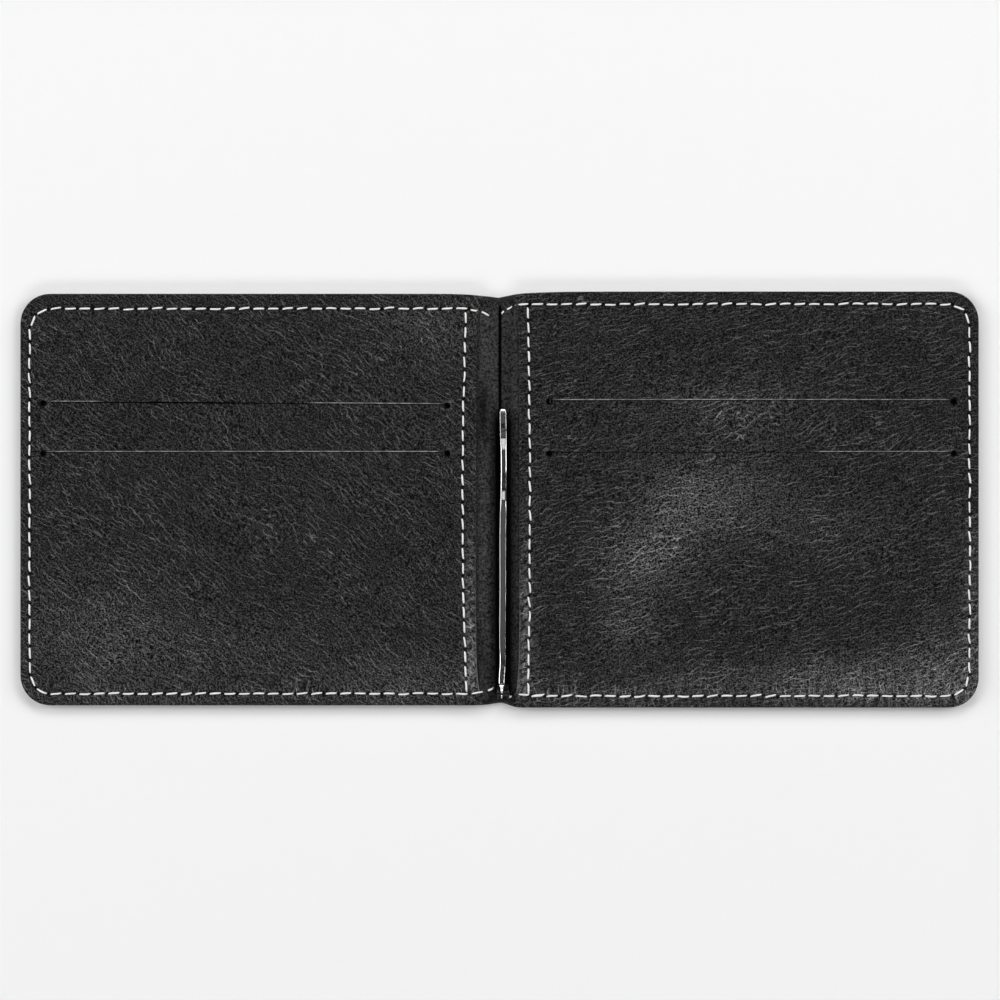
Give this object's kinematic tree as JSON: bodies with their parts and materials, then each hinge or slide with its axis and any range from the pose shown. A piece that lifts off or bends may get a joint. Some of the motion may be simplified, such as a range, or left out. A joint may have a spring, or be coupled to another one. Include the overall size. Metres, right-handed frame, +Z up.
{
  "type": "money clip wallet",
  "caption": "Bifold leather wallet lying open flat, with stitched card-slit faces and a hinged polished steel money clip bar along its fold.",
  "frame": {"origin": "middle of the underside of the open wallet, on the surface that it lies on", "axes": "+X along the open wallet towards the right panel, +Y towards the edge nearer the card slits, +Z up out of the inner faces"},
  "size_m": [0.211, 0.0916, 0.0043],
  "materials": {
    "cover_leather": "smooth grained black leather, satin",
    "face_leather": "finely creased black leather, glossy satin",
    "strip_suede": "napped black suede, matt",
    "thread": "waxed white twisted polyester",
    "board": "grey bonded fibre board, matt",
    "lining": "fine black woven lining, matt",
    "steel_bar": "mirror polished",
    "steel_plate": "dark spring steel, rolled finish"
  },
  "bodies": {
    "spine": {"spine_cover": "cover_leather", "spine_strip": "strip_suede", "spine_top_thread": "thread", "spine_bottom_left_thread": "thread", "spine_bottom_right_thread": "thread", "clip_base": "steel_plate", "leaf_spring": "steel_plate", "hinge_pin": "steel_bar"},
    "left_panel": {"left_cover": "cover_leather", "left_face": "face_leather", "left_stiffener": "board", "left_upper_pocket": "lining", "left_lower_pocket": "lining", "left_strip_flap": "strip_suede", "left_perimeter_thread": "thread", "left_seam_thread": "thread"},
    "right_panel": {"right_cover": "cover_leather", "right_face": "face_leather", "right_stiffener": "board", "right_upper_pocket": "lining", "right_lower_pocket": "lining", "right_strip_flap": "strip_suede", "right_perimeter_thread": "thread", "right_seam_thread": "thread"},
    "clip_arm": {"clip_arm": "steel_bar"}
  },
  "joints": [
    {"name": "left_fold", "type": "hinge", "parent": "spine", "child": "left_panel", "pos_m": [-0.0043, 0, 0.0022], "axis": [0, 1, 0], "range_deg": [0, 90]},
    {"name": "right_fold", "type": "hinge", "parent": "spine", "child": "right_panel", "pos_m": [0.004, 0, 0.0022], "axis": [0, -1, 0], "range_deg": [0, 90]},
    {"name": "clip_swing", "type": "hinge", "parent": "spine", "child": "clip_arm", "pos_m": [0.00077, -0.0426, 0.0029], "axis": [1, 0, 0], "range_deg": [0, 90]}
  ]
}
